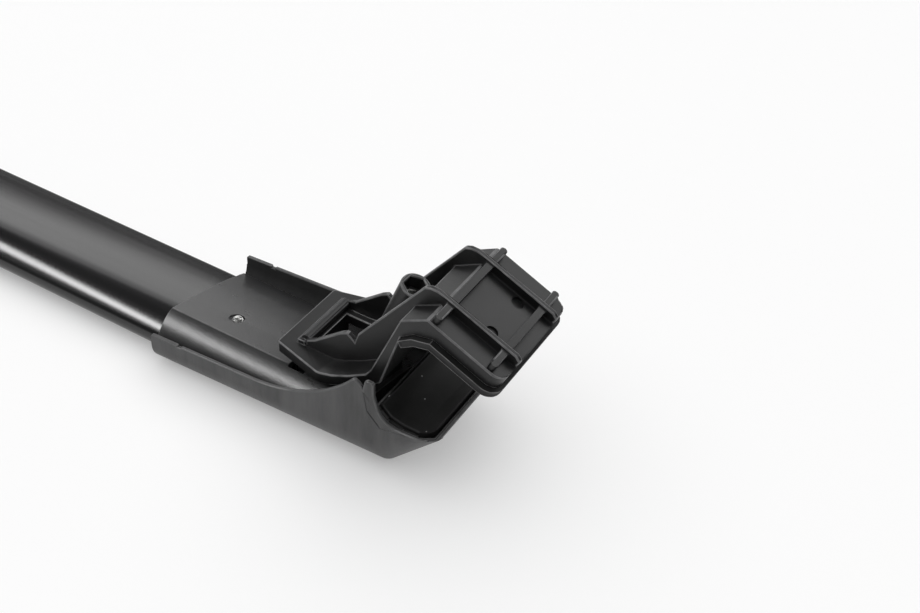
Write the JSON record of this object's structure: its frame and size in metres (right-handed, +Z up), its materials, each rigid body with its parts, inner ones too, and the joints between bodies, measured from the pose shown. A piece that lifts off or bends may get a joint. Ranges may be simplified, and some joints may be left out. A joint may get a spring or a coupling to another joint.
{
  "type": "roof rack crossbar",
  "caption": "Wing-section roof rack crossbar lying upside down, with a boat-shaped plastic foot at each end and a bolt-tightened clamp arm that grips a roof rail.",
  "frame": {"origin": "middle of the bar, on the floor under the feet", "axes": "+X along the bar, +Y across it towards the thin edge, +Z up as pictured, which is down in use"},
  "size_m": [1.0996, 0.0844, 0.1126],
  "materials": {
    "bar_coat": "satin black coating",
    "strip_rubber": "matt",
    "shell_plastic": "fine grain, black",
    "sleeve_plastic": "satin black",
    "arm_plastic": "fine grain, black",
    "saddle_rubber": "matt",
    "jaw_rubber": "matt",
    "steel": "bright zinc"
  },
  "bodies": {
    "base": {"bar": "bar_coat", "slot_strip": "strip_rubber", "right_shell": "shell_plastic", "right_saddle_pad": "saddle_rubber", "right_sleeve": "sleeve_plastic", "right_sleeve_screw": "steel", "right_nut": "steel", "left_shell": "shell_plastic", "left_saddle_pad": "saddle_rubber", "left_sleeve": "sleeve_plastic", "left_sleeve_screw": "steel", "left_nut": "steel"},
    "right_clamp": {"right_arm": "arm_plastic", "right_jaw_pad": "jaw_rubber", "right_washer": "steel"},
    "right_bolt": {"right_bolt": "steel"},
    "left_clamp": {"left_arm": "arm_plastic", "left_jaw_pad": "jaw_rubber", "left_washer": "steel"},
    "left_bolt": {"left_bolt": "steel"}
  },
  "joints": [
    {"name": "right_clamp_slide", "type": "slide", "parent": "base", "child": "right_clamp", "axis": [0.342, 0, 0.9397], "range_m": [-0.005, 0.006]},
    {"name": "right_bolt_turn", "type": "hinge", "parent": "right_clamp", "child": "right_bolt", "pos_m": [0.482, 0, 0.092], "axis": [0.342, 0, 0.9397], "range_deg": [-1800, 2160]},
    {"name": "left_clamp_slide", "type": "slide", "parent": "base", "child": "left_clamp", "axis": [-0.342, 0, 0.9397], "range_m": [-0.005, 0.006]},
    {"name": "left_bolt_turn", "type": "hinge", "parent": "left_clamp", "child": "left_bolt", "pos_m": [-0.482, 0, 0.092], "axis": [-0.342, 0, 0.9397], "range_deg": [-1800, 2160]}
  ],
  "couplings": [
    {"joint": "right_bolt_turn", "follows": "right_clamp_slide", "rad_per_m": 6283.2},
    {"joint": "left_bolt_turn", "follows": "left_clamp_slide", "rad_per_m": 6283.2}
  ]
}
